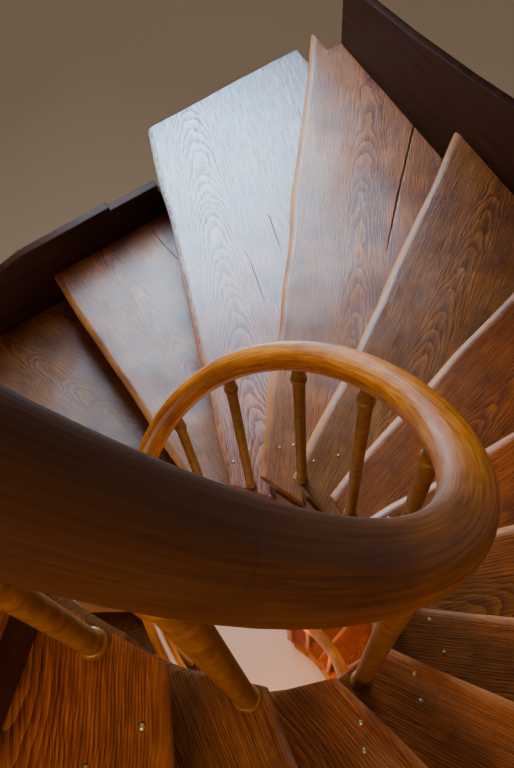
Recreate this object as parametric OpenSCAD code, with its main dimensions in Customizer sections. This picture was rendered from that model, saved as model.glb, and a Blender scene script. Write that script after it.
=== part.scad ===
// Winding stair round an oval open well, in a rectangular stair shaft.
// Plain treads and risers stand on a cut inner string and run into wall strings.

/* [Shaft] */
// Clear width between the east and west walls
shaft_w = 2480; // [2000:10:3000]
// Clear depth between the door wall and the wall opposite
shaft_d = 2720; // [2200:10:3300]
// Distance along the east wall from its north corner to the reference point
ref_from_corner = 300; // [150:10:400]
// Wall left between the doorway and the north-east corner
jamb_w = 82; // [60:2:120]
// Width of the doorway
door_w = 870; // [720:10:1050]
// How far the door tread runs into the doorway
sill_depth = 190; // [100:10:300]

/* [Steps] */
// Rise of one step
rise = 170; // [140:1:205]
// Steps in one full turn, which is one storey
steps_per_turn = 19; // [16:1:22]
// Steps built in all
step_count = 31; // [20:1:38]
// Steps in the lower half, where risers, strings, rail and balusters are divided
steps_lower = 16; // [10:1:19]
// Thickness of a tread
tread_t = 45; // [35:1:55]
// How far a nosing stands out from its riser
nosing_over = 30; // [22:1:40]
// Thickness of a riser board
riser_t = 22; // [16:1:28]
// Direction of the first nosing's wall end from the well's axis, in degrees
first_nosing = 51.75; // [49:0.25:54]
// How far the inner ends of the nosings are turned ahead of their wall ends, in degrees
nosing_swing = 8; // [0:1:12]

/* [Well] */
// Half the well's width, east to west, at the tread ends
well_a = 269; // [220:1:330]
// Half the well's length, north to south, at the tread ends
well_b = 377; // [310:1:460]
// Thickness of the inner string
string_t = 42; // [32:1:52]
// How far the string's face stands out from the tread ends into the well
string_reveal = 16; // [10:1:20]
// Depth of the inner string below the line of the nosings
string_depth = 330; // [270:5:400]

/* [Rail] */
// Width of the handrail
rail_w = 55; // [44:1:68]
// Height of the handrail's section
rail_h = 48; // [40:1:58]
// Height of the rail's centre above the line of the nosings
rail_rise = 715; // [590:5:900]
// How far the rail and balusters are set in from the tread ends
rail_set_in = 9; // [6:1:28]
// Diameter of a baluster
baluster_d = 25; // [18:1:30]
// Diameter of the foot and collar beads on a baluster
bead_d = 32; // [26:1:40]
// Diameter of the starting post at the foot of the rail
post_d = 34; // [28:1:45]
// Distance of the collar bead below the rail
collar_drop = 75; // [60:5:120]
// Steps from one baluster to the next
baluster_pitch = 1.45; // [1:0.05:2]
// Place of the first baluster after the starting post, in steps from the first nosing
baluster_first = 1.3; // [1:0.05:1.6]
// Nearest that a baluster may stand to a nosing, in steps
baluster_clear = 0.2; // [0.15:0.01:0.3]

/* [Wall strings] */
// Thickness of a wall string
wall_string_t = 28; // [20:1:40]
// Height of a wall string above the line of the nosings
string_cap = 215; // [120:5:260]
// Depth of a wall string below the line of the nosings
string_under = 290; // [240:5:360]
// How far the level string at the doorway stands above the door floor
door_cap = 20; // [10:1:40]

/* [Hidden] */
$fn = 32;
step_angle = 360 / steps_per_turn;
door_step = steps_per_turn;
half_w = shaft_w / 2;
half_d = shaft_d / 2;
axis_x = -half_w;
axis_y = ref_from_corner - half_d;
first_inner = first_nosing - nosing_swing;
far = 4000;
seat_gap = 1.2;
riser_room = 0.05;
rail_dome = 0.2;
bead_ease = 2.5;
foot_bead_h = 10;
collar_h = 14;
joint_gap = 0.005;
rings_per_step = 5;
rail_sides = 16;
rail_rings_per_step = 5;
inner_w = half_w - wall_string_t;
inner_d = half_d - wall_string_t;
jamb_x = half_w - jamb_w;
door_x = jamb_x - door_w;
door_z = door_step * rise;
wall_points = 12;

function two(i) = i < 10 ? str("0", i) : str(i);
function tread_name(i) = str("tread_", two(i));
tread_names = [for (i = [1:step_count]) tread_name(i)];
flight_names = [
    "risers_lower", "risers_upper", "inner_string_lower", "inner_string_upper",
    "balusters_lower", "balusters_upper", "handrail_lower", "handrail_upper"
];
wall_names = [
    "wall_string_east_lower", "wall_string_south_lower", "wall_string_west_lower",
    "wall_string_north_lower", "wall_string_east_upper", "wall_string_south_upper",
    "wall_string_west_upper"
];

// Plan geometry, measured from the well's axis. Step 1's nosing is at n = 1.
function inner_angle(n) = first_inner - (n - 1) * step_angle;
function wall_angle(n) = first_nosing - (n - 1) * step_angle;
function oval(t, out) = [(well_a + out) * cos(t), (well_b + out) * sin(t)];
function wall_reach(p) = min(half_w / max(abs(cos(p)), 0.001), half_d / max(abs(sin(p)), 0.001));
function wall_point(n) = wall_reach(wall_angle(n)) * [cos(wall_angle(n)), sin(wall_angle(n))];
function unit(v) = v / norm(v);
function nosing_dir(n) = unit(wall_point(n) - oval(inner_angle(n), 0));
function downhill(n) = [-nosing_dir(n)[1], nosing_dir(n)[0]];
// A line parallel to nosing n and set back behind it, as a point and a direction
function back_point(n, back) = oval(inner_angle(n), 0) - back * downhill(n);

// The oval's parameter where the line behind nosing n crosses the oval grown by out
function cross_b(p, d, ra, rb) = p[0] * d[0] / (ra * ra) + p[1] * d[1] / (rb * rb);
function cross_a(d, ra, rb) = d[0] * d[0] / (ra * ra) + d[1] * d[1] / (rb * rb);
function cross_c(p, ra, rb) = p[0] * p[0] / (ra * ra) + p[1] * p[1] / (rb * rb) - 1;
function cross_s(p, d, ra, rb) =
    let (a = cross_a(d, ra, rb), b = cross_b(p, d, ra, rb), c = cross_c(p, ra, rb))
    (-b + sqrt(b * b - a * c)) / a;
function cross_point(n, back, out) =
    let (p = back_point(n, back), d = nosing_dir(n))
    p + d * cross_s(p, d, well_a + out, well_b + out);

back_of_riser = nosing_over + riser_t;

// Outline of tread n before it is fitted to the walls
function tread_outline(n, front, back) = [
    cross_point(n, front, 0),
    back_point(n, front) + far * nosing_dir(n),
    back_point(n + 1, back) + far * nosing_dir(n + 1),
    cross_point(n + 1, back, 0)
];

module at_axis() {
    translate([axis_x, axis_y, 0]) children();
}

function at_doorway(n) = n == 1 || n == door_step || n == door_step + 1;
function beside_doorway(n) = at_doorway(n) || n == door_step + 2;

// Room that a tread may fill, in plan: inside the wall strings, and into the doorway
module tread_room(n) {
    north = beside_doorway(n) ? half_d : inner_d;
    translate([-inner_w, -inner_d, 0]) cube([2 * inner_w, inner_d + north, far * 2]);
    if (at_doorway(n)) {
        translate([door_x, 0, 0]) cube([door_w, half_d + sill_depth, far * 2]);
    }
}

// Side profile of a tread: x runs back from the nosing's edge, which is a half round
nose_points = 10;
function nose_profile(depth) = concat(
    [for (k = [0:nose_points]) let (w = 90 + k * 180 / nose_points)
        [-tread_t / 2 * (1 + cos(w)), tread_t / 2 * sin(w)]],
    [[-depth, -tread_t / 2], [-depth, tread_t / 2]]
);

// A tread: a winder board with a half-round nosing along its front
module tread(n) {
    start = oval(inner_angle(n), 0);
    heading = atan2(nosing_dir(n)[1], nosing_dir(n)[0]);
    color([0.55, 0.30, 0.12]) at_axis() intersection() {
        translate([start[0], start[1], n * rise - tread_t / 2]) rotate([0, 0, heading])
            translate([-well_b, 0, 0]) rotate([90, 0, 90])
            linear_extrude(far) polygon(nose_profile(far));
        translate([0, 0, n * rise - tread_t])
            linear_extrude(tread_t) polygon(tread_outline(n, 0, back_of_riser));
        tread_room(n);
    }
}

// Outline of the riser under the front of tread n
function riser_outline(n) = [
    cross_point(n, nosing_over, 0),
    back_point(n, nosing_over) + far * nosing_dir(n),
    back_point(n, back_of_riser) + far * nosing_dir(n),
    cross_point(n, back_of_riser, 0)
];

module riser(n) {
    north = beside_doorway(n) ? half_d : inner_d;
    at_axis() intersection() {
        translate([0, 0, (n - 1) * rise])
            linear_extrude(rise - tread_t) polygon(riser_outline(n));
        translate([-inner_w, -inner_d, 0]) cube([2 * inner_w, inner_d + north, far * 2]);
    }
}

module risers(first, last) {
    color([0.22, 0.10, 0.05]) for (n = [first:last]) riser(n);
}

// Oval parameters of the string's two faces where step n's riser has its back
function face_angle(n, out) =
    let (q = cross_point(n, back_of_riser, out))
    let (t = atan2(q[1] / (well_b + out), q[0] / (well_a + out)))
    let (want = inner_angle(n) - step_angle / 2)
    t + 360 * round((want - t) / 360);

function blend(a, b, f) = a + (b - a) * f;

// One ring of the string: four corners at fraction f of step n
function string_ring(n, f) =
    let (in_out = -string_reveal, far_out = string_t - string_reveal)
    let (ti = blend(face_angle(n, in_out), face_angle(n + 1, in_out), f))
    let (to = blend(face_angle(n, far_out), face_angle(n + 1, far_out), f))
    let (low = max(0, (n + f) * rise + rise / 3 - string_depth), top = n * rise - tread_t)
    let (a = oval(ti, in_out), b = oval(to, far_out))
    [[a[0], a[1], low], [b[0], b[1], low], [b[0], b[1], top], [a[0], a[1], top]];

// Faces of a tube of count rings with sides corners each, its ends closed
function tube_faces(count, sides) = concat(
    [[for (k = [0:sides - 1]) k]],
    [for (j = [0:count - 2], k = [0:sides - 1], half = [0, 1])
        let (a = j * sides + k, b = j * sides + (k + 1) % sides)
        half == 0 ? [a, a + sides, b] : [b, a + sides, b + sides]],
    [[for (k = [sides - 1:-1:0]) (count - 1) * sides + k]]
);

module inner_string(first, last) {
    rings = [
        for (n = [first:last], j = [0:rings_per_step - 1])
            string_ring(n, j == 0 ? joint_gap : j / (rings_per_step - 1))
    ];
    points = [for (ring = rings, q = ring) q];
    color([0.42, 0.20, 0.08]) at_axis() polyhedron(points, tube_faces(len(rings), 4), convexity = 10);
}

// The handrail's centre line, and its frame along the climb
function rail_z(t) = ((first_inner - t) / step_angle + 1) * rise + rail_rise;
function rail_point(t) = let (q = oval(t, rail_set_in)) [q[0], q[1], rail_z(t)];
function rail_heading(t) =
    atan2(-(well_b + rail_set_in) * cos(t), (well_a + rail_set_in) * sin(t));
function rail_speed(t) =
    norm([(well_a + rail_set_in) * sin(t), (well_b + rail_set_in) * cos(t)]) * PI / 180;
function rail_slope(t) = atan(rise / step_angle / rail_speed(t));

// The rail's section, rounded above and nearly flat below
function section_point(k) =
    let (w = k * 360 / rail_sides)
    [rail_w / 2 * cos(w), max(rail_h / 2 * sin(w) * (sin(w) < 0 ? 1.25 : 1), -rail_h / 2)];
function rail_ring(t, size) =
    let (h = rail_heading(t), s = rail_slope(t), c = rail_point(t))
    let (side = [sin(h), -cos(h), 0] * size, up = [-cos(h) * sin(s), -sin(h) * sin(s), cos(s)] * size)
    [for (k = [0:rail_sides - 1]) c + section_point(k)[0] * side + section_point(k)[1] * up];

// Rings that close the rail's foot in a dome
function dome_rings(first) =
    [for (w = [15:15:75]) rail_ring(inner_angle(first - rail_dome * cos(w)), sin(w))];

module handrail(first, last, dome) {
    rings = concat(dome, [
        for (j = [0:round((last - first) * rail_rings_per_step)])
            rail_ring(inner_angle(first + (j == 0 ? joint_gap : j / rail_rings_per_step)), 1)
    ]);
    points = [for (ring = rings, q = ring) q];
    color([0.70, 0.35, 0.05]) at_axis()
        polyhedron(points, tube_faces(len(rings), rail_sides), convexity = 10);
}

// A bead turned round a bar, with eased edges
module bead(d, high) {
    rotate_extrude($fn = 24) polygon([
        [0, 0], [d / 2 - bead_ease, 0], [d / 2, bead_ease], [d / 2, high - bead_ease],
        [d / 2 - bead_ease, high], [0, high]
    ]);
}

// A baluster: a round bar with a foot bead and a collar, cut to the slope of the rail
module baluster(n, bar_d, ring_d) {
    t = inner_angle(n);
    foot = floor(n) * rise;
    c = rail_point(t);
    top = c[2] - rail_h / 2 / cos(rail_slope(t));
    at_axis() difference() {
        translate([c[0], c[1], foot]) {
            cylinder(d = bar_d, h = c[2] - foot, $fn = 24);
            bead(ring_d, foot_bead_h);
            translate([0, 0, top - foot - collar_drop]) bead(ring_d, collar_h);
        }
        translate(c) rotate([0, 0, rail_heading(t)]) rotate([0, -rail_slope(t), 0])
            translate([-rail_w * 2, -rail_w, -rail_h / 2 - seat_gap])
            cube([rail_w * 4, rail_w * 2, rail_w * 4]);
    }
}

// Balusters are evenly spaced, then moved to stand clear of the nosings and risers
function stand_clear(n) =
    floor(n) + max(baluster_clear, min(1 - baluster_clear - riser_room, n - floor(n)));
function baluster_places(first, last) = [
    for (k = [0:step_count])
        let (n = stand_clear(1 + baluster_first + k * baluster_pitch)) if (n >= first && n < last) n
];

module balusters(first, last) {
    color([0.45, 0.32, 0.12]) for (n = baluster_places(first, last)) baluster(n, baluster_d, bead_d);
}

module starting_post() {
    color([0.45, 0.32, 0.12]) baluster(1 + baluster_clear + riser_room, post_d, post_d + bead_d - baluster_d);
}

// Height of the line of nosings where it meets a wall at direction p, on the given turn
function wall_z(p, turn) = ((first_nosing - p) / step_angle + 1) * rise + turn * door_z;
function string_top(p, turn) = wall_z(p, turn) + string_cap;
function string_low(p, turn) = max(0, wall_z(p, turn) - string_under);

// Directions from the axis to the shaft's corners
north_east = atan2(half_d, half_w);
south_east = -north_east;
south_west = north_east - 180;
north_west = -180 - north_east;
last_angle = wall_angle(step_count + 1) + 360;

// A wall string's outline, as distance along the wall and height
function wall_outline(angles, along, turn, lid) = concat(
    [for (p = angles) [along(p), min(string_top(p, turn), lid)]],
    [for (j = [len(angles) - 1:-1:0]) [along(angles[j]), string_low(angles[j], turn)]]
);
function spread(a, b) = [for (j = [0:wall_points]) blend(a, b, j / wall_points)];
east_along = function (p) half_w * tan(p);
west_along = function (p) -half_w * tan(p);
south_along = function (p) -half_d / tan(p);
north_along = function (p) half_d / tan(p);

module wall_string(x, outline) {
    color([0.28, 0.11, 0.05]) at_axis() translate([x, 0, 0])
        rotate([90, 0, 90]) linear_extrude(wall_string_t) polygon(outline);
}

module cross_string(y, outline) {
    color([0.28, 0.11, 0.05]) at_axis() translate([0, y, 0])
        rotate([90, 0, 0]) linear_extrude(wall_string_t) polygon(outline);
}

// Where the line behind nosing n meets a line of constant y
function meets_y(n, back, y) =
    let (p = back_point(n, back), d = nosing_dir(n))
    p[0] + d[0] * (y - p[1]) / d[1];

// The door wall's string: raked, then level with the door floor, ending at the door riser
module door_wall_string() {
    nose_x = meets_y(door_step, 0, inner_d);
    end_x = meets_y(door_step, nosing_over, inner_d);
    sill_west = atan2(half_d, door_x) - 360;
    sill_east = atan2(half_d, end_x) - 360;
    angles = spread(north_west, sill_west);
    under = [for (p = [sill_east, sill_west]) [north_along(p), string_low(p, 0)]];
    raked = wall_outline(angles, north_along, 0, door_z + door_cap);
    cross_string(half_d, trimmed(concat(
        [for (j = [0:wall_points]) raked[j]], [[door_x, door_z], [nose_x, door_z]],
        [[nose_x, door_z - tread_t], [end_x, door_z - tread_t]],
        under, [for (j = [wall_points + 2:2 * wall_points + 1]) raked[j]]
    )));
}

function trimmed(list) = [for (q = list) [max(-inner_w, min(inner_w, q[0])), q[1]]];

for (n = [1:step_count]) tread(n);
risers(1, steps_lower);  // risers_lower
risers(steps_lower + 1, step_count);  // risers_upper
inner_string(1, steps_lower);  // inner_string_lower
inner_string(steps_lower + 1, step_count);  // inner_string_upper
handrail(1, steps_lower + 1, dome_rings(1));  // handrail_lower
handrail(steps_lower + 1, step_count + 1, []);  // handrail_upper
union() {  // balusters_lower
    starting_post();
    balusters(1, steps_lower + 1);
}
balusters(steps_lower + 1, step_count + 1);  // balusters_upper
wall_string(inner_w, wall_outline(spread(north_east, south_east), east_along, 0, far * 2));  // wall_string_east_lower
cross_string(-inner_d, trimmed(wall_outline(spread(south_east, south_west), south_along, 0, far * 2)));  // wall_string_south_lower
wall_string(-half_w, wall_outline(spread(south_west, north_west), west_along, 0, far * 2));  // wall_string_west_lower
door_wall_string();  // wall_string_north_lower
wall_string(inner_w, wall_outline(spread(north_east, south_east), east_along, 1, far * 2));  // wall_string_east_upper
cross_string(-inner_d, trimmed(wall_outline(spread(south_east, south_west), south_along, 1, far * 2)));  // wall_string_south_upper
wall_string(-half_w, wall_outline(spread(south_west, last_angle), west_along, 1, far * 2));  // wall_string_west_upper
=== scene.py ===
# A winding oak stair round an oval open well, seen from the turn above.
# Sizes are in metres and angles in degrees unless a line says otherwise.
import bisect
import math

import bmesh
import bpy
from mathutils import Matrix, Vector


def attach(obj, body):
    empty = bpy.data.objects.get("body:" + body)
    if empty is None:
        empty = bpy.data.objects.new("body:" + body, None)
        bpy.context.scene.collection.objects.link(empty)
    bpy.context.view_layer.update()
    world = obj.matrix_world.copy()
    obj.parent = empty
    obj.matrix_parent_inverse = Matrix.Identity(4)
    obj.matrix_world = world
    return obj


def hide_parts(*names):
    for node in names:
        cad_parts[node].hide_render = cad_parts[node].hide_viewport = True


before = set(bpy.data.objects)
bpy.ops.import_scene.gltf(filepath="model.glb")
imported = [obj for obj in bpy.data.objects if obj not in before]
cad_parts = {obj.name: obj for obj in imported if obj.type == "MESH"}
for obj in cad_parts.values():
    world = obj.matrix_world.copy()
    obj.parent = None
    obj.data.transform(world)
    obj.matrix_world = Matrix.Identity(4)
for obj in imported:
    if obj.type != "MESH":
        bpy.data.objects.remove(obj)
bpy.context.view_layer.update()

# Viewpoint
# The eye is over the rail one turn above the door floor, and looks steeply down the well.
# It stands where the picture was taken, with the same field of view.
eye = bpy.data.objects.new("viewpoint", bpy.data.cameras.new("viewpoint"))
bpy.context.scene.collection.objects.link(eye)
eye.data.lens = 44.436
eye.data.sensor_width = 36.0
eye.data.clip_start = 0.02
turn = Vector((-7.611729, -1.156016, -10.796199))
spin = Matrix.Rotation(turn.length, 3, turn.normalized()) @ Matrix(((1, 0, 0), (0, -1, 0), (0, 0, -1)))
to_right, to_up, to_back = spin[0], -spin[1], -spin[2]
eye.matrix_world = Matrix((
    (to_right.x, to_up.x, to_back.x, -1.34456),
    (to_right.y, to_up.y, to_back.y, -1.51374),
    (to_right.z, to_up.z, to_back.z, 5.85806),
    (0, 0, 0, 1),
))
bpy.context.scene.camera = eye

# Step boards
# Thirty-one oak winders, nineteen to a turn. Each board is long at the wall and short at
# the oval well. Its front is rounded and rubbed hollow by feet, and it is nailed down.
axis = Vector((-1.24, -1.06, 0))
rise, step_turn, board_t = 0.170, 360 / 19, 0.045
# Where the front of step 1 points, seen from the well's axis, at the well and at the wall
first_at_well, first_at_wall = 43.75, 51.75
well_a, well_b = 0.269, 0.377
half_w, half_d, string_t = 1.240, 1.360, 0.028
behind_riser = 0.052
doorway = (0.288, 1.158)
sill = 0.190
at_doors = (1, 19, 20)
nosing_r, wear_apart = 0.021, 0.37


def on_oval(angle):
    return Vector((well_a * math.cos(math.radians(angle)), well_b * math.sin(math.radians(angle)), 0))


def nosing_line(n):
    """Where the front edge of step n starts at the well, and its direction, from the well's axis."""
    wall = math.radians(first_at_wall - (n - 1) * step_turn)
    reach = min(half_w / max(abs(math.cos(wall)), 0.001), half_d / max(abs(math.sin(wall)), 0.001))
    start = on_oval(first_at_well - (n - 1) * step_turn)
    end = Vector((reach * math.cos(wall), reach * math.sin(wall), 0))
    return start, (end - start).normalized()


def uphill(along):
    return Vector((along.y, -along.x, 0))


def at_well(n, back):
    """Where a line set back behind nosing n meets the oval of the board ends."""
    start, along = nosing_line(n)
    p = start + uphill(along) * back
    a = (along.x / well_a) ** 2 + (along.y / well_b) ** 2
    b = p.x * along.x / well_a ** 2 + p.y * along.y / well_b ** 2
    c = (p.x / well_a) ** 2 + (p.y / well_b) ** 2 - 1
    return p + along * ((math.sqrt(b * b - a * c) - b) / a)


def only(thing):
    bpy.ops.object.select_all(action="DESELECT")
    thing.select_set(True)
    bpy.context.view_layer.objects.active = thing


def pick(thing, mode, test):
    """In edit mode, selects what passes a test, and any edges and faces between its vertices."""
    mesh = bmesh.from_edit_mesh(thing.data)
    for part in (*mesh.verts, *mesh.edges, *mesh.faces):
        part.select_set(False)
    for part in {"VERT": mesh.verts, "EDGE": mesh.edges, "FACE": mesh.faces}[mode]:
        if test(part):
            part.select_set(True)
    mesh.select_flush_mode()
    bmesh.update_edit_mesh(thing.data)


def finish_with(thing, kind, **settings):
    """Adds a modifier and applies it."""
    step = thing.modifiers.new(kind.lower(), kind)
    for key, value in settings.items():
        setattr(step, key, value)
    only(thing)
    bpy.ops.object.modifier_apply(modifier=step.name)


def cut_off(thing, point, facing):
    """Cuts away all that lies beyond a plane, and closes the cut."""
    only(thing)
    bpy.ops.object.mode_set(mode="EDIT")
    bpy.ops.mesh.select_all(action="SELECT")
    bpy.ops.mesh.bisect(plane_co=point, plane_no=facing, use_fill=True, clear_outer=True, threshold=0.00001)
    bpy.ops.object.mode_set(mode="OBJECT")


def copy_of(thing, name):
    made = thing.copy()
    made.data = thing.data.copy()
    made.name = name
    bpy.context.scene.collection.objects.link(made)
    return made


# One long blank: its own x runs along the front edge, -y runs back, and its top is at z = 0
bpy.ops.object.select_all(action="DESELECT")
bpy.ops.mesh.primitive_grid_add(x_subdivisions=56, y_subdivisions=20, size=1, location=(0.8, -0.45, 0))
blank = bpy.context.object
blank.name = "board_blank"
bpy.ops.object.mode_set(mode="EDIT")
bpy.ops.transform.resize(value=(2.5, 0.9, 1), center_override=(0.8, -0.45, 0))
bpy.ops.mesh.extrude_region_move(TRANSFORM_OT_translate={"value": (0, 0, -board_t)})
bpy.ops.mesh.select_all(action="SELECT")
bpy.ops.mesh.normals_make_consistent(inside=False)
pick(blank, "EDGE", lambda e: (all(v.co.y > -0.0001 for v in e.verts)
                               and abs(e.verts[0].co.z - e.verts[1].co.z) < 0.001))
bpy.ops.mesh.bevel(offset=nosing_r, segments=5, profile=0.5)
bpy.ops.object.mode_set(mode="OBJECT")
blank_top = blank.vertex_groups.new(name="top")
blank_front = blank.vertex_groups.new(name="front")
for v in blank.data.vertices:
    where = blank.matrix_world @ v.co
    if where.z > -0.030:
        blank_top.add([v.index], 1.0, "REPLACE")
    if where.y > -0.085:
        blank_front.add([v.index], min(1.0, (where.y + 0.085) / 0.06), "REPLACE")
only(blank)
bpy.ops.object.transform_apply(location=True, rotation=True, scale=True)

worn_front = bpy.data.textures.new("worn front", "CLOUDS")
worn_front.noise_scale = 0.30
worn_front.noise_depth = 1
worn_top = bpy.data.textures.new("worn top", "CLOUDS")
worn_top.noise_scale = 0.26
worn_top.noise_depth = 2


def oak(name, dark, mid, light, place, turned, lean, rubbed, pale=0.0):
    """Varnished oak whose rings run along the board's own length, with a rubbed front edge."""
    made = bpy.data.materials.new(name)
    made.use_nodes = True
    nodes, links = made.node_tree.nodes, made.node_tree.links
    shader = nodes["Principled BSDF"]
    where = nodes.new("ShaderNodeTexCoord")
    board = nodes.new("ShaderNodeMapping")
    board.vector_type = "TEXTURE"
    board.inputs["Location"].default_value = place
    board.inputs["Rotation"].default_value = turned
    links.new(where.outputs["Object"], board.inputs["Vector"])
    # Growth rings round a heart that lies a little under the board and tilted to it
    heart = nodes.new("ShaderNodeMapping")
    heart.inputs["Location"].default_value = lean[0]
    heart.inputs["Rotation"].default_value = [math.radians(a) for a in lean[1]]
    links.new(board.outputs["Vector"], heart.inputs["Vector"])
    rings = nodes.new("ShaderNodeTexWave")
    rings.wave_type = "RINGS"
    rings.rings_direction = "X"
    rings.wave_profile = "SAW"
    rings.inputs["Scale"].default_value = 115.0
    rings.inputs["Distortion"].default_value = 11.0
    rings.inputs["Detail"].default_value = 3.0
    rings.inputs["Detail Scale"].default_value = 0.07
    rings.inputs["Detail Roughness"].default_value = 0.6
    links.new(heart.outputs["Vector"], rings.inputs["Vector"])
    long_way = nodes.new("ShaderNodeMapping")
    long_way.inputs["Scale"].default_value = (11.0, 300.0, 300.0)
    links.new(board.outputs["Vector"], long_way.inputs["Vector"])
    pores = nodes.new("ShaderNodeTexNoise")
    pores.inputs["Scale"].default_value = 1.3
    pores.inputs["Detail"].default_value = 5.0
    pores.inputs["Roughness"].default_value = 0.68
    links.new(long_way.outputs["Vector"], pores.inputs["Vector"])
    tone = nodes.new("ShaderNodeTexNoise")
    tone.inputs["Scale"].default_value = 5.0
    tone.inputs["Detail"].default_value = 6.0
    tone.inputs["Roughness"].default_value = 0.65
    links.new(board.outputs["Vector"], tone.inputs["Vector"])
    grain = nodes.new("ShaderNodeMix")
    grain.data_type = "FLOAT"
    grain.inputs[0].default_value = 0.79
    links.new(rings.outputs["Fac"], grain.inputs[2])
    links.new(pores.outputs["Fac"], grain.inputs[3])
    ramp = nodes.new("ShaderNodeValToRGB")
    ramp.color_ramp.elements[0].position = 0.34
    ramp.color_ramp.elements[0].color = (*dark, 1)
    ramp.color_ramp.elements[1].position = 0.66
    ramp.color_ramp.elements[1].color = (*light, 1)
    middle = ramp.color_ramp.elements.new(0.48)
    middle.color = (*mid, 1)
    links.new(grain.outputs[0], ramp.inputs["Fac"])
    stains = nodes.new("ShaderNodeValToRGB")
    stains.color_ramp.elements[0].position = 0.36
    stains.color_ramp.elements[0].color = (0.30, 0.19, 0.13, 1)
    stains.color_ramp.elements[1].position = 0.62
    stains.color_ramp.elements[1].color = (1.0, 1.0, 1.0, 1)
    links.new(tone.outputs["Fac"], stains.inputs["Fac"])
    shade = nodes.new("ShaderNodeMix")
    shade.data_type = "RGBA"
    shade.blend_type = "MULTIPLY"
    shade.inputs[0].default_value = 0.8
    links.new(ramp.outputs["Color"], shade.inputs[6])
    links.new(stains.outputs["Color"], shade.inputs[7])
    colour = shade.outputs[2]
    if rubbed:
        # Golden bare wood along the front edge, wider where feet fall
        parts = nodes.new("ShaderNodeSeparateXYZ")
        links.new(board.outputs["Vector"], parts.inputs["Vector"])
        wander = nodes.new("ShaderNodeMath")
        wander.operation = "MULTIPLY_ADD"
        wander.inputs[1].default_value = -0.060
        links.new(tone.outputs["Fac"], wander.inputs[0])
        links.new(parts.outputs["Y"], wander.inputs[2])
        rub = nodes.new("ShaderNodeMapRange")
        rub.inputs["From Min"].default_value = 0.000
        rub.inputs["From Max"].default_value = -0.026
        rub.inputs["To Max"].default_value = 0.80
        links.new(wander.outputs[0], rub.inputs["Value"])
        worn = nodes.new("ShaderNodeMix")
        worn.data_type = "RGBA"
        worn.inputs[7].default_value = (0.36, 0.110, 0.009, 1)
        links.new(rub.outputs["Result"], worn.inputs[0])
        links.new(colour, worn.inputs[6])
        colour = worn.outputs[2]
    if pale:
        # Step 19's top is mixed towards a pale blue: partly weathered, bleached oak and partly a painted
        # sheen, the reflection of the doorway's bluish light
        bare = nodes.new("ShaderNodeMix")
        bare.data_type = "RGBA"
        bare.inputs[7].default_value = (0.44, 0.54, 0.64, 1)
        # The dark pores stay open in the pale wood, bleached and with painted sheen
        open_pores = nodes.new("ShaderNodeMapRange")
        open_pores.inputs["From Min"].default_value = 0.38
        open_pores.inputs["From Max"].default_value = 0.56
        open_pores.inputs["To Max"].default_value = pale
        links.new(grain.outputs[0], open_pores.inputs["Value"])
        # It is pale most at its outer end, by the doorway: bleached there, and brightest in the painted sheen
        # of the doorway's light
        outer = nodes.new("ShaderNodeMapRange")
        outer.inputs["From Min"].default_value = 0.45
        outer.inputs["From Max"].default_value = 1.25
        outer.inputs["To Min"].default_value = 0.12
        links.new(parts.outputs["X"], outer.inputs["Value"])
        bleach_and_sheen = nodes.new("ShaderNodeMath")
        bleach_and_sheen.operation = "MULTIPLY"
        links.new(open_pores.outputs["Result"], bleach_and_sheen.inputs[0])
        links.new(outer.outputs["Result"], bleach_and_sheen.inputs[1])
        upper = nodes.new("ShaderNodeMapRange")
        upper.inputs["From Min"].default_value = 0.034
        upper.inputs["From Max"].default_value = 0.016
        links.new(parts.outputs["Z"], upper.inputs["Value"])
        on_top = nodes.new("ShaderNodeMath")
        on_top.operation = "MULTIPLY"
        links.new(bleach_and_sheen.outputs[0], on_top.inputs[0])
        links.new(upper.outputs["Result"], on_top.inputs[1])
        links.new(on_top.outputs[0], bare.inputs[0])
        links.new(colour, bare.inputs[6])
        colour = bare.outputs[2]
    links.new(colour, shader.inputs["Base Color"])
    gloss = nodes.new("ShaderNodeMapRange")
    gloss.inputs["From Min"].default_value = 0.3
    gloss.inputs["From Max"].default_value = 0.7
    gloss.inputs["To Min"].default_value = 0.27
    gloss.inputs["To Max"].default_value = 0.45
    links.new(pores.outputs["Fac"], gloss.inputs["Value"])
    if rubbed:
        # The varnish is gone from the rubbed edge, so it is matt there
        matt = nodes.new("ShaderNodeMix")
        matt.data_type = "FLOAT"
        matt.inputs[3].default_value = 0.85
        links.new(rub.outputs["Result"], matt.inputs[0])
        links.new(gloss.outputs["Result"], matt.inputs[2])
        links.new(matt.outputs[0], shader.inputs["Roughness"])
    else:
        links.new(gloss.outputs["Result"], shader.inputs["Roughness"])
    bump = nodes.new("ShaderNodeBump")
    bump.inputs["Strength"].default_value = 0.8
    bump.inputs["Distance"].default_value = 0.0012
    links.new(pores.outputs["Fac"], bump.inputs["Height"])
    links.new(bump.outputs["Normal"], shader.inputs["Normal"])
    shader.inputs["Coat Weight"].default_value = 0.08
    shader.inputs["Coat Roughness"].default_value = 0.30
    return made


# Cracks and the joint of a two-piece board: the step, points along and behind the front
# edge, and the width
cracks = [
    (20, [(1.30, 0.382), (1.135, 0.358), (1.039, 0.345),
          (0.935, 0.331), (0.826, 0.318), (0.72, 0.306)], 0.0055),
    (18, [(0.925, 0.386), (0.852, 0.387), (0.790, 0.394), (0.74, 0.404)], 0.0022),
    (19, [(0.855, 0.322), (0.838, 0.331), (0.761, 0.335), (0.700, 0.338)], 0.0026),
    (19, [(0.740, 0.226), (0.692, 0.233), (0.631, 0.238), (0.540, 0.245)], 0.0024),
]
nail_rows = [(0.054, 0.030), (0.074, 0.056), (0.090, 0.088)]

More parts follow.
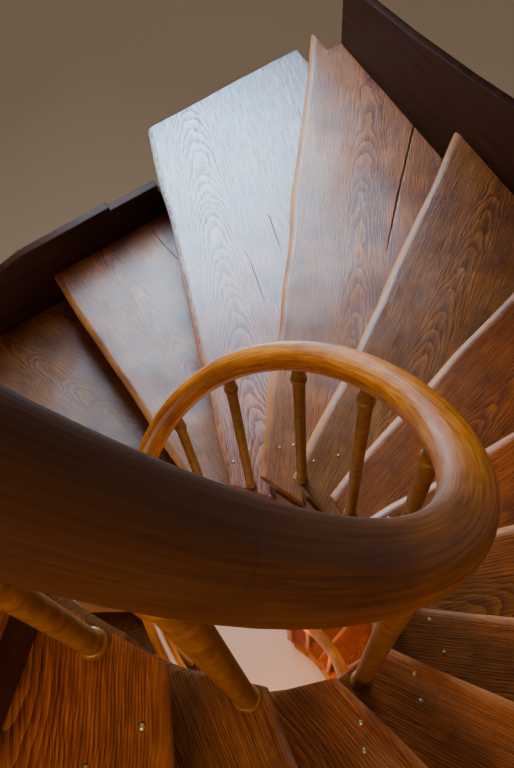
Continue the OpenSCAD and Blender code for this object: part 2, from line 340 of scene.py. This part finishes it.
for n in range(1, 32):
    name = "tread_%02d" % n
    start, along = nosing_line(n)
    heading = math.atan2(along.y, along.x)
    board = copy_of(blank, "step_board_%02d" % n)
    # The wear is drawn at a height of its own for each board, so that no two are alike
    board.data.transform(Matrix.Translation((0, 0, wear_apart * n)))
    finish_with(board, "DISPLACE", texture=worn_front, texture_coords="LOCAL", direction="Y",
                strength=0.026, mid_level=0.80, vertex_group="front")
    finish_with(board, "DISPLACE", texture=worn_top, texture_coords="LOCAL", direction="Z",
                strength=0.010, mid_level=0.75, vertex_group="top")
    board.data.transform(Matrix.Translation((0, 0, -wear_apart * n)))
    for step, path, width in cracks:
        if step != n:
            continue
        # A thin blade is drawn along the crack from a strip laid aside, one column at a time
        bpy.ops.object.select_all(action="DESELECT")
        bpy.ops.mesh.primitive_grid_add(x_subdivisions=len(path) - 1, y_subdivisions=1, size=1,
                                        location=(0, 0, 0))
        blade = bpy.context.object
        bpy.ops.object.mode_set(mode="EDIT")
        bpy.ops.transform.translate(value=(10, 0, 0.01))
        for k, (out, back) in enumerate(path):
            column = 9.5 + k / (len(path) - 1)
            thick = width * (1.0 if 0 < k < len(path) - 1 else 0.3)
            pick(blade, "VERT", lambda v: v.co.x > 9 and abs(v.co.x - column) < 0.01)
            bpy.ops.transform.resize(value=(1, thick, 1), center_override=(column, 0, 0.01))
            bpy.ops.transform.translate(value=(out - column, -back, 0))
        bpy.ops.mesh.select_all(action="SELECT")
        bpy.ops.mesh.extrude_region_move(TRANSFORM_OT_translate={"value": (0, 0, -0.035)})
        bpy.ops.mesh.select_all(action="SELECT")
        bpy.ops.mesh.normals_make_consistent(inside=False)
        bpy.ops.object.mode_set(mode="OBJECT")
        finish_with(board, "BOOLEAN", object=blade, operation="DIFFERENCE", solver="EXACT")
        bpy.data.objects.remove(blade)
    board.rotation_euler = (0, 0, heading)
    board.location = (axis.x + start.x, axis.y + start.y, n * rise)
    only(board)
    bpy.ops.object.transform_apply(location=True, rotation=True, scale=True)
    # Cut to the plan: behind the next riser, at the well, and at the walls
    next_start, next_along = nosing_line(n + 1)
    rear = at_well(n + 1, behind_riser)
    front = at_well(n, 0)
    end_way = (rear - front).normalized()
    to_well = Vector((end_way.y, -end_way.x, 0))
    if to_well.dot(front) > 0:
        to_well = -to_well
    cut_off(board, axis + next_start + uphill(next_along) * behind_riser, uphill(next_along))
    cut_off(board, axis + front, to_well)
    cut_off(board, axis + Vector((half_w - string_t, 0, 0)), (1, 0, 0))
    cut_off(board, axis - Vector((half_w - string_t, 0, 0)), (-1, 0, 0))
    cut_off(board, axis - Vector((0, half_d - string_t, 0)), (0, -1, 0))
    north = half_d + sill if n in at_doors else half_d if n == 21 else half_d - string_t
    cut_off(board, axis + Vector((0, north, 0)), (0, 1, 0))
    if n in at_doors:
        for lo, hi in ((doorway[1], doorway[1] + 1), (doorway[0] - 1, doorway[0])):
            bpy.ops.object.select_all(action="DESELECT")
            bpy.ops.mesh.primitive_cube_add(
                size=1, location=(axis.x + (lo + hi) / 2, axis.y + half_d + 0.5, n * rise))
            block = bpy.context.object
            block.scale = (1, 1, 0.3)
            finish_with(board, "BOOLEAN", object=block, operation="DIFFERENCE", solver="EXACT")
            bpy.data.objects.remove(block)
    finish_with(board, "BEVEL", width=0.0018, segments=2, limit_method="ANGLE", angle_limit=math.radians(48))
    only(board)
    bpy.ops.object.shade_smooth_by_angle(angle=math.radians(38))
    # The board's own x runs along the nosing, y runs back from the edge, and z runs down
    place = (axis.x + start.x, axis.y + start.y, n * rise)
    swing = math.sin(n * 2.4)
    warm = 1 + 0.16 * math.sin(n * 1.7 + 0.6)
    heart_at = (0.0, -0.19 + 0.06 * swing, -0.12 - 0.05 * math.cos(n))
    heart_tilt = (0, 2.4 + 0.9 * swing, -1.4 * swing)
    wood = oak("step oak %02d" % n,
               (0.050 * warm, 0.009, 0.001), (0.22 * warm, 0.046, 0.003), (0.44 * warm, 0.130, 0.009),
               place, (math.pi, 0, heading), (heart_at, heart_tilt), True, 0.75 if n == 19 else 0.0)
    board.data.materials.clear()
    board.data.materials.append(wood)
    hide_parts(name)
    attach(board, "root")
bpy.data.objects.remove(blank)

# Nails
# Blunt iron nails hold each board down near the well, their heads polished by feet.
steel = bpy.data.materials.new("nail steel")
steel.use_nodes = True
steel_nodes, steel_links = steel.node_tree.nodes, steel.node_tree.links
steel_shader = steel_nodes["Principled BSDF"]
steel_shader.inputs["Metallic"].default_value = 0.8
steel_shader.inputs["Roughness"].default_value = 0.38
steel_where = steel_nodes.new("ShaderNodeTexCoord")
steel_spots = steel_nodes.new("ShaderNodeTexNoise")
steel_spots.inputs["Scale"].default_value = 300.0
steel_links.new(steel_where.outputs["Object"], steel_spots.inputs["Vector"])
steel_ramp = steel_nodes.new("ShaderNodeValToRGB")
steel_ramp.color_ramp.elements[0].color = (0.16, 0.11, 0.06, 1)
steel_ramp.color_ramp.elements[1].color = (0.46, 0.40, 0.30, 1)
steel_links.new(steel_spots.outputs["Fac"], steel_ramp.inputs["Fac"])
steel_links.new(steel_ramp.outputs["Color"], steel_shader.inputs["Base Color"])

bpy.ops.object.select_all(action="DESELECT")
bpy.ops.mesh.primitive_cylinder_add(vertices=12, radius=0.0034, depth=0.003, location=(0, 0, 0))
nail = bpy.context.object
nail.name = "nail_heads"
bpy.ops.object.mode_set(mode="EDIT")
pick(nail, "FACE", lambda f: f.normal.z > 0.9)
bpy.ops.mesh.inset(thickness=0.0013)
bpy.ops.transform.translate(value=(0, 0, 0.0009))
bpy.ops.object.mode_set(mode="OBJECT")
heads = []
for n in range(1, 32):
    start, along = nosing_line(n)
    for k, (out, back) in enumerate(nail_rows):
        if (n * 3 + k) % 4 == 0:
            continue
        spot = (axis + start + along * (out + 0.006 * math.sin(n * 5.1 + k))
                + uphill(along) * (back + 0.005 * math.cos(n * 3.3 + k)))
        head = copy_of(nail, "nail_head")
        head.data.transform(Matrix.Translation((spot.x, spot.y, n * rise - 0.0030)))
        heads.append(head)
bpy.data.objects.remove(nail)
only(heads[0])
for head in heads:
    head.select_set(True)
bpy.ops.object.join()
nails = bpy.context.object
nails.name = "nail_heads"
only(nails)
bpy.ops.object.shade_smooth_by_angle(angle=math.radians(40))
nails.data.materials.append(steel)
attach(nails, "root")

# Risers
# Thin boards that close the front of each step under the nosing. They keep the solids' shape, and only their
# colour is added: a near-black brown, far darker than the steps, which is painted shade for the shadow under
# the nosings.
riser_shade_oak = oak("riser shade oak", (0.016, 0.005, 0.002), (0.060, 0.020, 0.006), (0.12, 0.042, 0.012),
                  (0, 0, 0), (0, 0, 0.4), ((0, 0.3, -0.2), (3, 80, 4)), False)
riser_shade_oak.node_tree.nodes["Principled BSDF"].inputs["Specular IOR Level"].default_value = 0.15
for name in ("risers_lower", "risers_upper"):
    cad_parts[name].data.materials.clear()
    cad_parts[name].data.materials.append(riser_shade_oak)

# Inner strings
# The cut string winds round the well under the board ends. It is built up in short bent
# lengths, so its faces run smoothly, and its edges are eased.
string_oak = oak("string oak", (0.06, 0.017, 0.004), (0.20, 0.062, 0.012), (0.34, 0.12, 0.026),
                 (0, 0, 0), (0, 0, 0), ((1.24, 1.06, 0), (0, 90, 0)), False)


def smooth_copy(node, name, ease, corner):
    """A merged copy of a solid with its edges eased and its curved faces smooth."""
    made = copy_of(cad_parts[node], name)
    made.parent = None
    made.hide_render = False
    only(made)
    bpy.ops.object.mode_set(mode="EDIT")
    bpy.ops.mesh.select_all(action="SELECT")
    bpy.ops.mesh.remove_doubles(threshold=0.00002)
    bpy.ops.mesh.dissolve_limited(angle_limit=math.radians(0.5))
    bpy.ops.object.mode_set(mode="OBJECT")
    finish_with(made, "BEVEL", width=ease, segments=2, limit_method="ANGLE", angle_limit=math.radians(corner))
    only(made)
    bpy.ops.object.shade_smooth_by_angle(angle=math.radians(corner))
    made.data.materials.clear()
    return made


for half in ("lower", "upper"):
    string = smooth_copy("inner_string_" + half, "bent_string_" + half, 0.002, 40)
    string.data.materials.append(string_oak)
    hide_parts("inner_string_" + half)
    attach(string, "root")

# Handrail
# One rail swept round the well in lengths jointed end to end, worn smooth and varnished.
# Its foot is rounded over.
# Its grain map advances by uv_per_step at each step, and each length spans length_steps of them.
uv_per_step, length_steps = 0.2, 1.49
darker_from, dark_at = 24.4, 28.2
rail_wood = bpy.data.materials.new("rail wood")
rail_wood.use_nodes = True
rw_nodes, rw_links = rail_wood.node_tree.nodes, rail_wood.node_tree.links
rw_shader = rw_nodes["Principled BSDF"]
rw_map = rw_nodes.new("ShaderNodeUVMap")
rw_map.uv_map = "along"
rw_scale = rw_nodes.new("ShaderNodeMapping")
rw_scale.inputs["Scale"].default_value = (7.0, 270.0, 1.0)
rw_links.new(rw_map.outputs["UV"], rw_scale.inputs["Vector"])
rw_streaks = rw_nodes.new("ShaderNodeTexNoise")
rw_streaks.inputs["Scale"].default_value = 1.3
rw_streaks.inputs["Detail"].default_value = 5.0
rw_streaks.inputs["Distortion"].default_value = 0.6
rw_links.new(rw_scale.outputs["Vector"], rw_streaks.inputs["Vector"])
rw_ramp = rw_nodes.new("ShaderNodeValToRGB")
rw_ramp.color_ramp.elements[0].position = 0.32
rw_ramp.color_ramp.elements[0].color = (0.30, 0.064, 0.004, 1)
rw_ramp.color_ramp.elements[1].position = 0.70
rw_ramp.color_ramp.elements[1].color = (0.68, 0.235, 0.013, 1)
rw_links.new(rw_streaks.outputs["Fac"], rw_ramp.inputs["Fac"])
rw_where = rw_nodes.new("ShaderNodeTexCoord")
rw_tone = rw_nodes.new("ShaderNodeTexNoise")
rw_tone.inputs["Scale"].default_value = 7.0
rw_tone.inputs["Detail"].default_value = 3.0
rw_links.new(rw_where.outputs["Object"], rw_tone.inputs["Vector"])
rw_dirt = rw_nodes.new("ShaderNodeValToRGB")
rw_dirt.color_ramp.elements[0].position = 0.35
rw_dirt.color_ramp.elements[0].color = (0.45, 0.32, 0.25, 1)
rw_dirt.color_ramp.elements[1].position = 0.62
rw_dirt.color_ramp.elements[1].color = (1, 1, 1, 1)
rw_links.new(rw_tone.outputs["Fac"], rw_dirt.inputs["Fac"])
rw_mix = rw_nodes.new("ShaderNodeMix")
rw_mix.data_type = "RGBA"
rw_mix.blend_type = "MULTIPLY"
rw_mix.inputs[0].default_value = 0.7
rw_links.new(rw_ramp.outputs["Color"], rw_mix.inputs[6])
rw_links.new(rw_dirt.outputs["Color"], rw_mix.inputs[7])
# The lengths are jointed every step and a half, each joint a fine dark line across the rail
rw_parts = rw_nodes.new("ShaderNodeSeparateXYZ")
rw_links.new(rw_map.outputs["UV"], rw_parts.inputs["Vector"])
rw_length = rw_nodes.new("ShaderNodeMath")
rw_length.operation = "SUBTRACT"
rw_length.inputs[1].default_value = uv_per_step * (17.67 - 13 * length_steps)
rw_links.new(rw_parts.outputs["X"], rw_length.inputs[0])
rw_within = rw_nodes.new("ShaderNodeMath")
rw_within.operation = "MODULO"
rw_within.inputs[1].default_value = uv_per_step * length_steps
rw_links.new(rw_length.outputs[0], rw_within.inputs[0])
rw_line = rw_nodes.new("ShaderNodeMapRange")
rw_line.inputs["From Max"].default_value = 0.0016
rw_line.inputs["To Min"].default_value = 0.75
rw_line.inputs["To Max"].default_value = 0.0
rw_links.new(rw_within.outputs[0], rw_line.inputs["Value"])
rw_joint = rw_nodes.new("ShaderNodeMix")
rw_joint.data_type = "RGBA"
rw_joint.inputs[7].default_value = (0.020, 0.006, 0.002, 1)
rw_links.new(rw_line.outputs["Result"], rw_joint.inputs[0])
# The upper lengths, above the door's turn, are darker: painted shade, for the part of the rail nearest the
# eye, which lies in shadow from above
rw_shade_amount = rw_nodes.new("ShaderNodeMapRange")
rw_shade_amount.inputs["From Min"].default_value = uv_per_step * darker_from
rw_shade_amount.inputs["From Max"].default_value = uv_per_step * dark_at
rw_shade_amount.inputs["To Max"].default_value = 0.90
rw_links.new(rw_parts.outputs["X"], rw_shade_amount.inputs["Value"])
rw_dark = rw_nodes.new("ShaderNodeMix")
rw_dark.data_type = "RGBA"
rw_dark.inputs[7].default_value = (0.020, 0.0035, 0.0006, 1)
rw_links.new(rw_shade_amount.outputs["Result"], rw_dark.inputs[0])
rw_links.new(rw_mix.outputs[2], rw_dark.inputs[6])
rw_links.new(rw_dark.outputs[2], rw_joint.inputs[6])
rw_links.new(rw_joint.outputs[2], rw_shader.inputs["Base Color"])
rw_gloss = rw_nodes.new("ShaderNodeMapRange")
rw_gloss.inputs["From Min"].default_value = uv_per_step * darker_from
rw_gloss.inputs["From Max"].default_value = uv_per_step * dark_at
rw_gloss.inputs["To Min"].default_value = 0.24
rw_gloss.inputs["To Max"].default_value = 0.62
rw_links.new(rw_parts.outputs["X"], rw_gloss.inputs["Value"])
rw_links.new(rw_gloss.outputs["Result"], rw_shader.inputs["Roughness"])
rw_bump = rw_nodes.new("ShaderNodeBump")
rw_bump.inputs["Strength"].default_value = 0.25
rw_bump.inputs["Distance"].default_value = 0.0006
rw_links.new(rw_streaks.outputs["Fac"], rw_bump.inputs["Height"])
rw_links.new(rw_bump.outputs["Normal"], rw_shader.inputs["Normal"])

rail_w, rail_h, rail_rise, rail_in = 0.055, 0.048, 0.715, 0.009
rail_a, rail_b = well_a + rail_in, well_b + rail_in


def rail_frame(n):
    """Centre of the rail at step n, and its upward direction."""
    t = math.radians(first_at_well - (n - 1) * step_turn)
    centre = axis + Vector((rail_a * math.cos(t), rail_b * math.sin(t), n * rise + rail_rise))
    level = Vector((rail_a * math.sin(t), -rail_b * math.cos(t), 0))
    climb = rise / (math.radians(step_turn) * level.length)
    ahead = (level.normalized() + Vector((0, 0, climb))).normalized()
    side = Vector((-level.y, level.x, 0)).normalized()
    up = ahead.cross(side)
    return centre, up * (1 if up.z > 0 else -1)


for half, first, last, dome in (("lower", 1.0, 17.0, 0.2), ("upper", 17.0, 32.0, 0.0)):
    # The line of the climb, with its length measured up to each place
    places = [first - dome + (last - first + dome) * j / 400 for j in range(401)]
    route = [rail_frame(n)[0] for n in places]
    reach = [0.0]
    for a, b in zip(route, route[1:]):
        reach.append(reach[-1] + (b - a).length)
    foot = sum(1 for n in places if n < first)
    start_x, end_x = reach[foot] if dome else 0.0, reach[-1]
    # A straight bar along x, rounded above and flat below
    bpy.ops.object.select_all(action="DESELECT")
    bpy.ops.mesh.primitive_cylinder_add(vertices=48, radius=1, depth=1, end_fill_type="NGON",
                                        rotation=(0, math.pi / 2, 0))
    rail = bpy.context.object
    rail.name = "swept_rail_" + half
    bpy.ops.object.transform_apply(location=True, rotation=True, scale=True)
    bpy.ops.object.mode_set(mode="EDIT")
    bpy.ops.transform.resize(value=(end_x - start_x, rail_w / 2, rail_h / 2), center_override=(0, 0, 0))
    bpy.ops.transform.translate(value=((start_x + end_x) / 2, 0, 0))
    pick(rail, "VERT", lambda v: v.co.z < -0.00001)
    bpy.ops.transform.resize(value=(1, 1, 1.25), center_override=(0, 0, 0))
    pick(rail, "VERT", lambda v: v.co.z < -rail_h / 2)
    bpy.ops.transform.resize(value=(1, 1, 0), center_override=(0, 0, -rail_h / 2))
    pick(rail, "EDGE", lambda e: abs(e.verts[0].co.x - e.verts[1].co.x) > 1)
    bpy.ops.mesh.subdivide(number_cuts=100)
    if dome:
        pick(rail, "FACE", lambda f: f.normal.x < -0.9)
        at, wide = start_x, 1.0
        for w in (78, 65, 52, 39, 26, 13):
            to, size = start_x * (1 - math.cos(math.radians(w))), math.sin(math.radians(w))
            bpy.ops.mesh.extrude_region_move(TRANSFORM_OT_translate={"value": (to - at, 0, 0)})
            bpy.ops.transform.resize(value=(1, size / wide, size / wide), center_override=(to, 0, 0))
            at, wide = to, size
    bpy.ops.object.mode_set(mode="OBJECT")
    # The grain is laid out on the straight bar, so that it follows the bends
    layer = rail.data.uv_layers.new(name="along")
    for face in rail.data.polygons:
        spots = [rail.data.vertices[rail.data.loops[i].vertex_index].co for i in face.loop_indices]
        turns = [math.atan2(s.z, s.y) for s in spots]
        wraps = max(turns) - min(turns) > math.pi
        for i, s, t in zip(face.loop_indices, spots, turns):
            k = min(399, max(0, bisect.bisect(reach, s.x) - 1))
            n = places[k] + (s.x - reach[k]) / (reach[k + 1] - reach[k]) * (places[1] - places[0])
            layer.data[i].uv = (n * uv_per_step, (t + (2 * math.pi if wraps and t < 0 else 0)) * 0.025)
    climb = bpy.data.curves.new("climb", "CURVE")
    climb.dimensions = "3D"
    climb.twist_mode = "Z_UP"
    line = climb.splines.new("POLY")
    line.points.add(len(route) - 1)
    for point, spot in zip(line.points, route):
        point.co = (*spot, 1)
    guide = bpy.data.objects.new("climb", climb)
    bpy.context.scene.collection.objects.link(guide)
    bpy.context.view_layer.update()
    finish_with(rail, "CURVE", object=guide, deform_axis="POS_X")
    bpy.data.objects.remove(guide)
    only(rail)
    bpy.ops.object.mode_set(mode="EDIT")
    bpy.ops.mesh.select_all(action="SELECT")
    bpy.ops.mesh.normals_make_consistent(inside=False)
    bpy.ops.object.mode_set(mode="OBJECT")
    bpy.ops.object.shade_smooth_by_angle(angle=math.radians(40))
    rail.data.materials.append(rail_wood)
    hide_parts("handrail_" + half)
    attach(rail, "root")

# Balusters
# Round iron bars that stand on the ends of the boards, each with a bead at its foot and a
# collar under the rail, painted brown-gold and rubbed.
iron = bpy.data.materials.new("baluster iron")
iron.use_nodes = True
ir_nodes, ir_links = iron.node_tree.nodes, iron.node_tree.links
ir_shader = ir_nodes["Principled BSDF"]
ir_where = ir_nodes.new("ShaderNodeTexCoord")
ir_spots = ir_nodes.new("ShaderNodeTexNoise")
ir_spots.inputs["Scale"].default_value = 60.0
ir_spots.inputs["Detail"].default_value = 7.0
ir_links.new(ir_where.outputs["Object"], ir_spots.inputs["Vector"])
ir_ramp = ir_nodes.new("ShaderNodeValToRGB")
ir_ramp.color_ramp.elements[0].position = 0.33
ir_ramp.color_ramp.elements[0].color = (0.17, 0.062, 0.006, 1)
ir_ramp.color_ramp.elements[1].position = 0.66
ir_ramp.color_ramp.elements[1].color = (0.34, 0.132, 0.013, 1)
ir_links.new(ir_spots.outputs["Fac"], ir_ramp.inputs["Fac"])
ir_links.new(ir_ramp.outputs["Color"], ir_shader.inputs["Base Color"])
ir_shader.inputs["Metallic"].default_value = 0.15
ir_shader.inputs["Roughness"].default_value = 0.40
ir_bump = ir_nodes.new("ShaderNodeBump")
ir_bump.inputs["Strength"].default_value = 0.05
ir_bump.inputs["Distance"].default_value = 0.0006
ir_links.new(ir_spots.outputs["Fac"], ir_bump.inputs["Height"])
ir_links.new(ir_bump.outputs["Normal"], ir_shader.inputs["Normal"])

bar_d, bead_d, post_d, collar_drop = 0.025, 0.032, 0.034, 0.075
post_at, first_bar, bar_pitch = 1.25, 2.3, 1.45


def turned_bar(name, thick, ring, n):
    """A bar from the board to the underside of the rail, with its two beads."""
    centre, up = rail_frame(n)
    foot = math.floor(n) * rise
    slope = math.sqrt(1 - up.z ** 2) / up.z
    seat = centre.z - rail_h / 2 / up.z
    collar = seat - foot - collar_drop
    bpy.ops.object.select_all(action="DESELECT")
    bpy.ops.mesh.primitive_circle_add(vertices=24, radius=thick / 2 + 0.0005, fill_type="NGON",
                                      location=(0, 0, -0.001))
    bar = bpy.context.object
    bar.name = name
    bpy.ops.object.mode_set(mode="EDIT")
    # Heights above the board, each with the diameter there: foot bead, collar, then the top
    stages = [
        (0.0, thick), (0.0005, ring - 0.004), (0.0025, ring),
        (0.0075, ring), (0.0098, ring - 0.004), (0.0104, thick),
        (collar, thick), (collar + 0.0008, ring - 0.004), (collar + 0.003, ring),
        (collar + 0.011, ring), (collar + 0.0132, ring - 0.004), (collar + 0.014, thick),
        (seat - foot + 0.004 + slope * thick / 2, thick),
    ]
    height, wide = -0.001, thick + 0.001
    for level, across in stages:
        bpy.ops.mesh.extrude_region_move(TRANSFORM_OT_translate={"value": (0, 0, level - height)})
        bpy.ops.transform.resize(value=(across / wide, across / wide, 1), center_override=(0, 0, level))
        height, wide = level, across
    bpy.ops.mesh.select_all(action="SELECT")
    bpy.ops.mesh.normals_make_consistent(inside=False)
    bpy.ops.object.mode_set(mode="OBJECT")
    bar.location = (centre.x, centre.y, foot)
    only(bar)
    bpy.ops.object.transform_apply(location=True, rotation=True, scale=True)
    # The top follows the slope of the rail and ends just inside it
    cut_off(bar, centre - up * (rail_h / 2 - 0.0015), up)
    return bar


for half, low, high in (("lower", 1, 17), ("upper", 17, 32)):
    bars = []
    if half == "lower":
        bars.append(turned_bar("starting_post", post_d, post_d + bead_d - bar_d, post_at))
    for k in range(31):
        even = first_bar + bar_pitch * k
        n = math.floor(even) + max(0.2, min(0.75, even - math.floor(even)))
        if low <= n < high:
            bars.append(turned_bar("bar", bar_d, bead_d, n))
    only(bars[0])
    for bar in bars:
        bar.select_set(True)
    bpy.ops.object.join()
    row = bpy.context.object
    row.name = "iron_bars_" + half
    only(row)
    bpy.ops.object.shade_smooth_by_angle(angle=math.radians(50))
    row.data.materials.append(iron)
    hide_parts("balusters_" + half)
    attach(row, "root")

# Wall strings
# Painted boards fixed flat to the walls, housed to take the ends of the steps. The paint is old and brushed,
# and a little glossy.
paint = bpy.data.materials.new("string paint")
paint.use_nodes = True
pa_nodes, pa_links = paint.node_tree.nodes, paint.node_tree.links
pa_shader = pa_nodes["Principled BSDF"]
pa_where = pa_nodes.new("ShaderNodeTexCoord")
pa_stroke = pa_nodes.new("ShaderNodeMapping")
pa_stroke.inputs["Scale"].default_value = (3.0, 3.0, 60.0)
pa_links.new(pa_where.outputs["Object"], pa_stroke.inputs["Vector"])
pa_marks = pa_nodes.new("ShaderNodeTexNoise")
pa_marks.inputs["Scale"].default_value = 2.0
pa_marks.inputs["Detail"].default_value = 5.0
pa_links.new(pa_stroke.outputs["Vector"], pa_marks.inputs["Vector"])
pa_ramp = pa_nodes.new("ShaderNodeValToRGB")
pa_ramp.color_ramp.elements[0].position = 0.30
pa_ramp.color_ramp.elements[0].color = (0.012, 0.0035, 0.0012, 1)
pa_ramp.color_ramp.elements[1].position = 0.72
pa_ramp.color_ramp.elements[1].color = (0.046, 0.011, 0.0028, 1)
pa_links.new(pa_marks.outputs["Fac"], pa_ramp.inputs["Fac"])
pa_links.new(pa_ramp.outputs["Color"], pa_shader.inputs["Base Color"])
pa_shader.inputs["Roughness"].default_value = 0.55
pa_shader.inputs["Specular IOR Level"].default_value = 0.14
pa_bump = pa_nodes.new("ShaderNodeBump")
pa_bump.inputs["Strength"].default_value = 0.25
pa_bump.inputs["Distance"].default_value = 0.0008
pa_links.new(pa_marks.outputs["Fac"], pa_bump.inputs["Height"])
pa_links.new(pa_bump.outputs["Normal"], pa_shader.inputs["Normal"])
for name in sorted(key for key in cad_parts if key.startswith("wall_string")):
    skirt = smooth_copy(name, name.replace("wall_string", "wall_skirt"), 0.003, 40)
    skirt.data.materials.append(paint)
    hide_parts(name)
    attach(skirt, "root")

# Studio
# A plain pale floor and nine soft lights: two bluish ones on the doorway's side, warm ones
# above, over the upper landing and inside the well, and a broad one outside each wall.
bpy.ops.object.select_all(action="DESELECT")
bpy.ops.mesh.primitive_plane_add(size=16, location=(-1.24, -1.06, -0.003))
ground = bpy.context.object
ground.name = "studio_floor"
pale = bpy.data.materials.new("studio floor")
pale.use_nodes = True
pale.node_tree.nodes["Principled BSDF"].inputs["Base Color"].default_value = (0.62, 0.63, 0.65, 1)
pale.node_tree.nodes["Principled BSDF"].inputs["Roughness"].default_value = 0.85
ground.data.materials.append(pale)

world = bpy.data.worlds.new("studio")
bpy.context.scene.world = world
world.use_nodes = True
world.node_tree.nodes["Background"].inputs["Color"].default_value = (1.0, 0.70, 0.44, 1)
world.node_tree.nodes["Background"].inputs["Strength"].default_value = 0.20


def soft_light(name, power, wide, high, color, spot, aim, spread=180):
    lamp = bpy.data.objects.new(name, bpy.data.lights.new(name, "AREA"))
    bpy.context.scene.collection.objects.link(lamp)
    lamp.data.shape = "RECTANGLE"
    lamp.data.energy = power
    lamp.data.size = wide
    lamp.data.size_y = high
    lamp.data.color = color
    lamp.data.spread = math.radians(spread)
    lamp.location = spot
    lamp.rotation_euler = (Vector(aim) - Vector(spot)).to_track_quat("-Z", "Y").to_euler()
    lamp.visible_camera = False


soft_light("door side", 22, 0.95, 1.00, (0.48, 0.74, 1.0),
           (-0.47, 0.72, 4.35), (-0.66, 0.24, 3.50), 78)
soft_light("doorway", 24, 0.95, 1.7, (0.58, 0.80, 1.0),
           (-0.58, 0.62, 4.30), (-1.05, -0.8, 4.1), 72)
soft_light("overhead", 38, 2.2, 2.2, (1.0, 0.58, 0.22), (-0.4, 0.6, 8.8), (-1.0, -0.9, 3.4))
soft_light("inside the well", 12, 0.26, 0.26, (1.0, 0.25, 0.0), (-1.24, -1.10, 1.20), (-1.24, -1.10, 0.0))
soft_light("upper landing", 25, 0.5, 0.5, (1.0, 0.66, 0.24), (-2.15, -2.15, 6.30), (-1.95, -1.70, 5.0))
for name, x, y in (("east side", 4.4, -1.6), ("south side", -0.8, -6.6),
                   ("west side", -6.8, -0.6), ("north side", -1.8, 4.6)):
    soft_light(name, 34, 3.4, 3.0, (1.0, 0.88, 0.74), (x, y, 2.0), (-1.24, -1.06, 1.8), 56)
